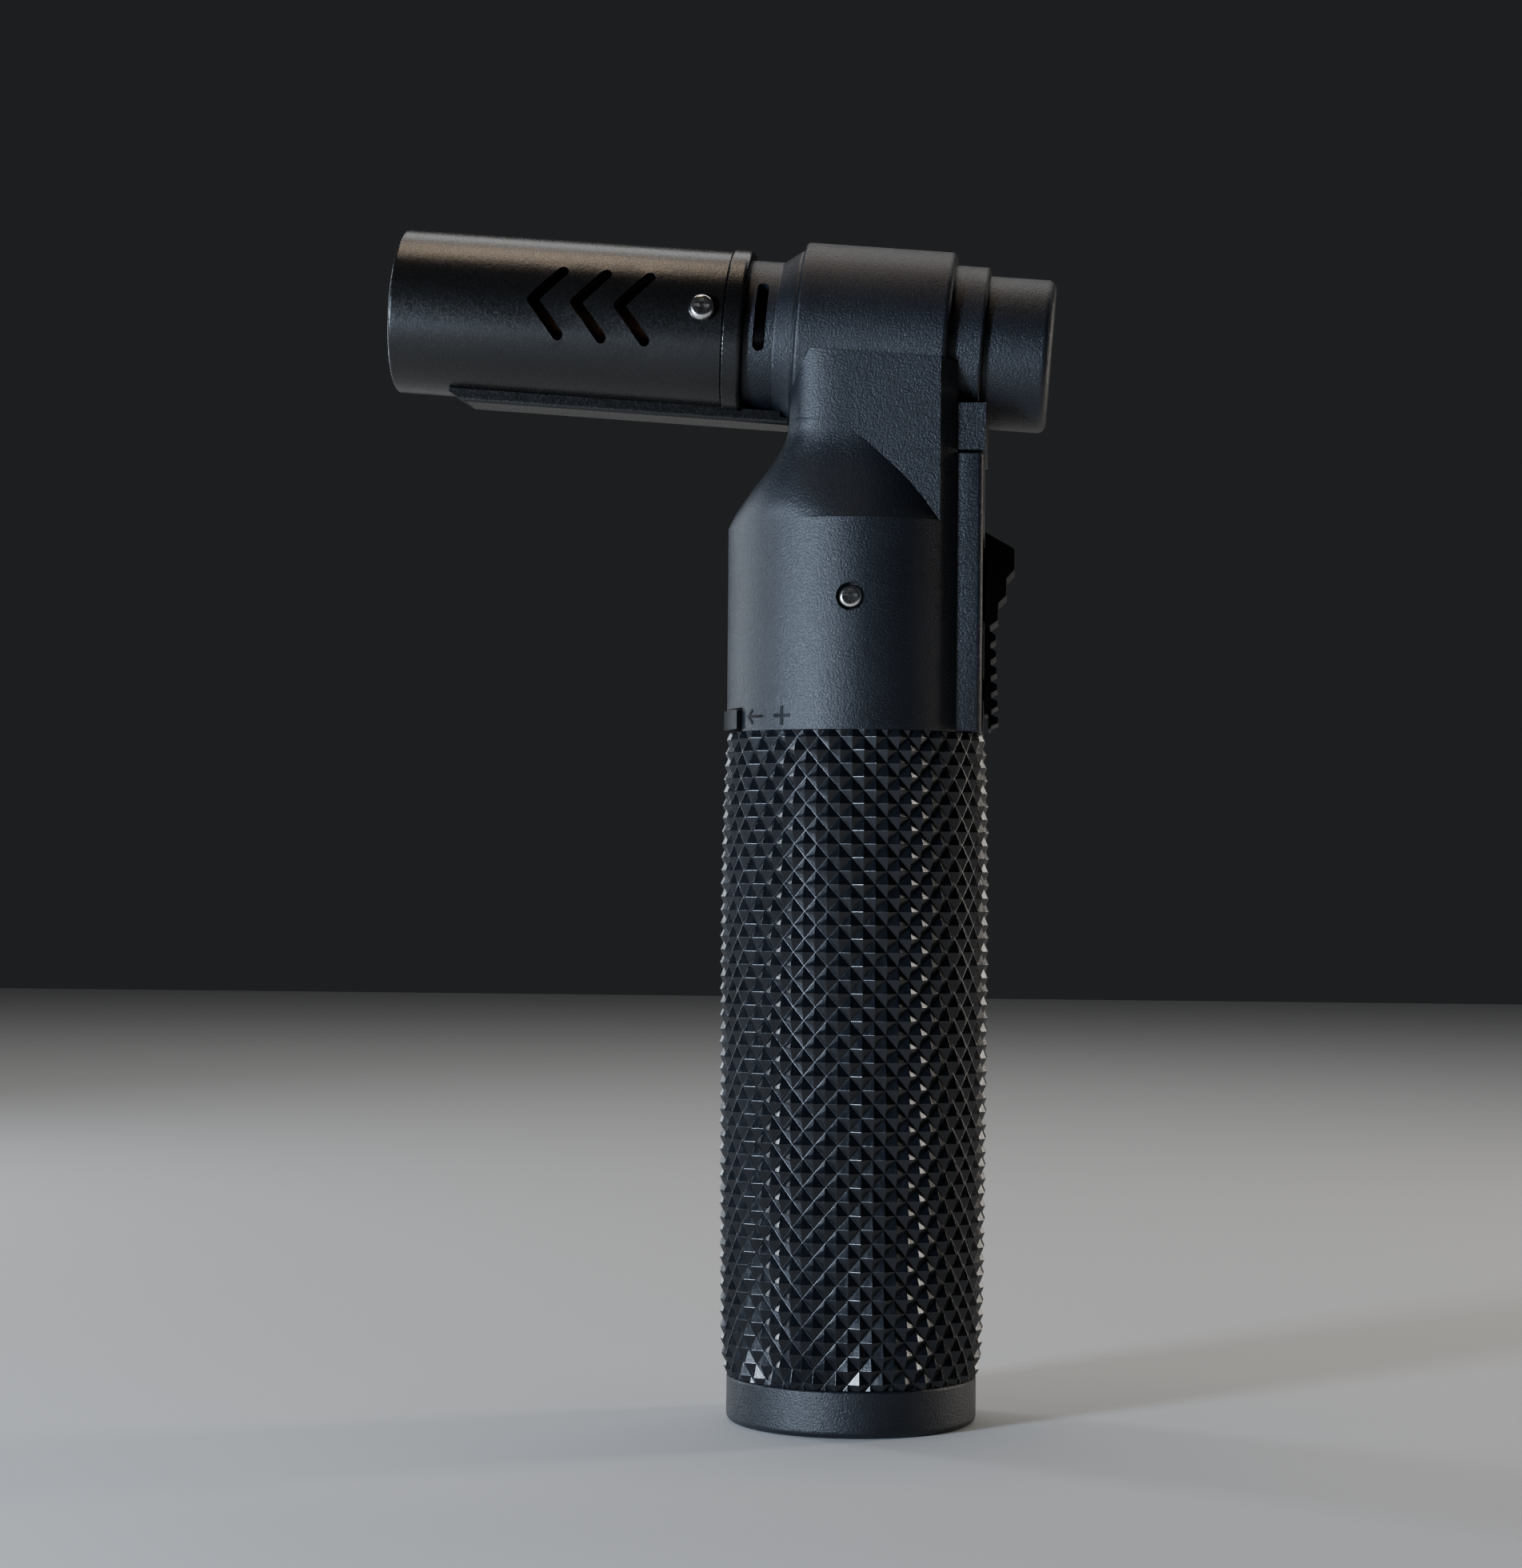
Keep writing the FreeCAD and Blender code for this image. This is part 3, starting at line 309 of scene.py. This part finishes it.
def mesh_from(name, build):
    """Mesh from a bmesh that build fills."""
    shape = bmesh.new()
    build(shape)
    bmesh.ops.recalc_face_normals(shape, faces=shape.faces)
    mesh = bpy.data.meshes.new(name)
    shape.to_mesh(mesh)
    shape.free()
    return mesh


def apply_modifiers(piece):
    """Bake a piece's modifiers into its mesh."""
    depsgraph = bpy.context.evaluated_depsgraph_get()
    final = bpy.data.meshes.new_from_object(piece.evaluated_get(depsgraph))
    piece.modifiers.clear()
    piece.data = final


KNURL_COLUMNS = 35
KNURL_ROWS = 24
KNURL_OFFSET = 0.27
KNURL_GROWTH = 0.032
KNURL_SPARE_ROWS = 3
KNURL_DEPTH = 0.78 * MM
KNURL_PHASE = math.radians(245.8)
KNURL_EDGE = 0.06 * MM
KNURL_EDGE_ANGLE = 12
CUT_TOLERANCE = 0.0001 * MM
THINNEST_GRIP = 0.5 * MM


def grip_envelope():
    """Heights and radii along the outside of the CAD sleeve, and the radius of its bore."""
    points = np.array([vertex.co for vertex in nodes["grip_sleeve"].data.vertices])
    radii = np.hypot(points[:, 0], points[:, 1])
    bore = radii.min()
    outside = radii > bore + THINNEST_GRIP
    order = np.argsort(points[outside, 2])
    return points[outside, 2][order], radii[outside][order], bore


def close_end(shape, height, normal, bore):
    """Cut the knurl off level and close it with a flat ring in to the bore.

    Returns the edges of the ring's inner rim.
    """
    geometry = shape.verts[:] + shape.edges[:] + shape.faces[:]
    cut = bmesh.ops.bisect_plane(shape, geom=geometry, plane_co=(0, 0, height), plane_no=normal,
                                 clear_outer=True, dist=CUT_TOLERANCE)
    rim = [item for item in cut["geom_cut"] if isinstance(item, bmesh.types.BMEdge)]
    ring = bmesh.ops.extrude_edge_only(shape, edges=rim)
    inner = [item for item in ring["geom"] if isinstance(item, bmesh.types.BMVert)]
    for vertex in inner:
        scale = bore / math.hypot(vertex.co.x, vertex.co.y)
        vertex.co.x *= scale
        vertex.co.y *= scale
    return [item for item in ring["geom"] if isinstance(item, bmesh.types.BMEdge)
            and all(vertex in inner for vertex in item.verts)]


def build_knurl(shape):
    """Low pyramids between crossing diagonal grooves, closed to a tube.

    The first row lies KNURL_OFFSET of a row below the top, and rows get taller towards the base. The spare
    rows past both ends are cut off again.
    """
    low, high = (corner.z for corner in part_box("grip_sleeve"))
    heights, radii, bore = grip_envelope()
    half_turn = math.pi / KNURL_COLUMNS
    corners = {}

    def corner(column, half_row):
        key = (column % (2 * KNURL_COLUMNS), half_row)
        if key not in corners:
            part = (half_row / 2 + KNURL_OFFSET) / KNURL_ROWS
            z = high - (high - low) * ((1 - KNURL_GROWTH) * part + KNURL_GROWTH * part * part)
            sunk = KNURL_DEPTH if (column + half_row) % 2 == 0 else 0.0
            radius = np.interp(z, heights, radii) - sunk
            angle = KNURL_PHASE + key[0] * half_turn
            corners[key] = shape.verts.new((radius * math.cos(angle), radius * math.sin(angle), z))
        return corners[key]

    for column in range(2 * KNURL_COLUMNS):
        for row in range(-KNURL_SPARE_ROWS, 2 * KNURL_ROWS + KNURL_SPARE_ROWS):
            if (column + row) % 2 == 0:
                continue
            around = [corner(column, row - 1), corner(column + 1, row), corner(column, row + 1),
                      corner(column - 1, row)]
            for first, second in zip(around, around[1:] + around[:1]):
                shape.faces.new((corner(column, row), first, second))
    upper = close_end(shape, high, (0, 0, 1), bore)
    lower = close_end(shape, low, (0, 0, -1), bore)
    bmesh.ops.bridge_loops(shape, edges=upper + lower)


def add_bevel(piece, width, angle):
    """Break the edges that turn more than an angle in degrees."""
    bevel = piece.modifiers.new("edge", "BEVEL")
    bevel.width = width
    bevel.segments = 2
    bevel.limit_method = "ANGLE"
    bevel.angle_limit = math.radians(angle)
    bevel.harden_normals = True
    bevel.use_clamp_overlap = True


SOFTENED_ANGLE = 30
SAME_POINT = 0.001 * MM
FLAT_ANGLE = math.radians(0.5)


def soften(node, body, width):
    """Copy of a CAD node with its sharp edges broken, standing for the node."""
    shape = bmesh.new()
    shape.from_mesh(nodes[node].data)
    bmesh.ops.remove_doubles(shape, verts=shape.verts, dist=SAME_POINT)
    bmesh.ops.dissolve_limit(shape, angle_limit=FLAT_ANGLE, verts=shape.verts, edges=shape.edges)
    mesh = bpy.data.meshes.new(node + "_look")
    shape.to_mesh(mesh)
    shape.free()
    mesh.shade_smooth()
    piece = add_piece(node + "_look", mesh, body, SLOTS[node], (node,))
    add_bevel(piece, width, SOFTENED_ANGLE)
    apply_modifiers(piece)


def add_spring(node):
    """Copy of a spring's CAD node, standing for the node; its joint presses it against its fixed end, but the copy
    is not made to shorten.
    """
    spring = add_piece(node + "_look", nodes[node].data.copy(), "torch", SLOTS[node], (node,))
    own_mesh(spring)


MARK_RISE = 1.9 * MM
MARK_PROUD = 0.07 * MM
MARK_SUNK = 0.1 * MM
MARK_TOP_WIDTH = 0.8
MARK_STEPS = 6
PLUS_STROKES = (((-1.3, 0), (1.3, 0), 0.55), ((0, -1.3), (0, 1.3), 0.55))
PLUS_ANGLE = math.radians(31)
ARROW_STROKES = (((-1.5, 0), (1.3, 0), 0.4), ((1.5, 0), (0.5, 0.9), 0.4), ((1.5, 0), (0.5, -0.9), 0.4))
ARROW_ANGLE = math.radians(47)


def build_stroke(shape, first, second, width, angle):
    """Bar from one point to another, wrapped round the body and narrower at its top."""
    body_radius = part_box("upper_housing")[1].y
    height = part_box("grip_sleeve")[1].z + MARK_RISE
    along = (second - first).normalized()
    side = Vector((-along.y, along.x)) * width / 2
    root = (1.0, -MARK_SUNK)
    top = (MARK_TOP_WIDTH, MARK_PROUD)
    rows = []
    for step in range(MARK_STEPS + 1):
        middle = first.lerp(second, step / MARK_STEPS)
        row = []
        for way, (share, lift) in ((-1, root), (-1, top), (1, top), (1, root)):
            across, up = middle + side * way * share
            turn = angle + across / body_radius
            reach = body_radius + lift
            row.append(shape.verts.new((-reach * math.sin(turn), -reach * math.cos(turn), height + up)))
        rows.append(row)
    for before, after in zip(rows, rows[1:]):
        for index in range(4):
            following = (index + 1) % 4
            shape.faces.new((before[index], before[following], after[following], after[index]))
    shape.faces.new(rows[0])
    shape.faces.new(rows[-1][::-1])


def add_mark(name, strokes, angle):
    """Raised mark on the round body, just above the grip, at an angle from the front.

    Each stroke is its two ends as (across, up) about the mark's middle, and its width, in millimetres.
    """
    def build(shape):
        for first, second, width in strokes:
            build_stroke(shape, Vector(first) * MM, Vector(second) * MM, width * MM, angle)

    add_piece(name, mesh_from(name, build), "torch", "controls")


MATERIALS = make_materials()
SLOTS = {entry["node"]: entry["material_slot"] for entry in frame["record"]["subparts"]}

for name, slot in SLOTS.items():
    paint_node(nodes[name], MATERIALS[slot])
    nodes[name].data.shade_smooth()

grip = add_piece("knurled_grip", mesh_from("knurled_grip", build_knurl), "torch", "grip", ("grip_sleeve",))
grip.data.shade_smooth()
add_bevel(grip, KNURL_EDGE, KNURL_EDGE_ANGLE)
apply_modifiers(grip)

soften("trigger", "trigger", 0.22 * MM)
soften("lock_slide", "lock", 0.12 * MM)
soften("back_cover", "torch", 0.25 * MM)

for joint in frame["joints"]:
    for pressed in joint.get("deforming_nodes", []):
        add_spring(pressed["node"])

add_mark("plus_mark", PLUS_STROKES, PLUS_ANGLE)
add_mark("arrow_mark", ARROW_STROKES, ARROW_ANGLE)

add_camera()
add_floor()
add_lights()
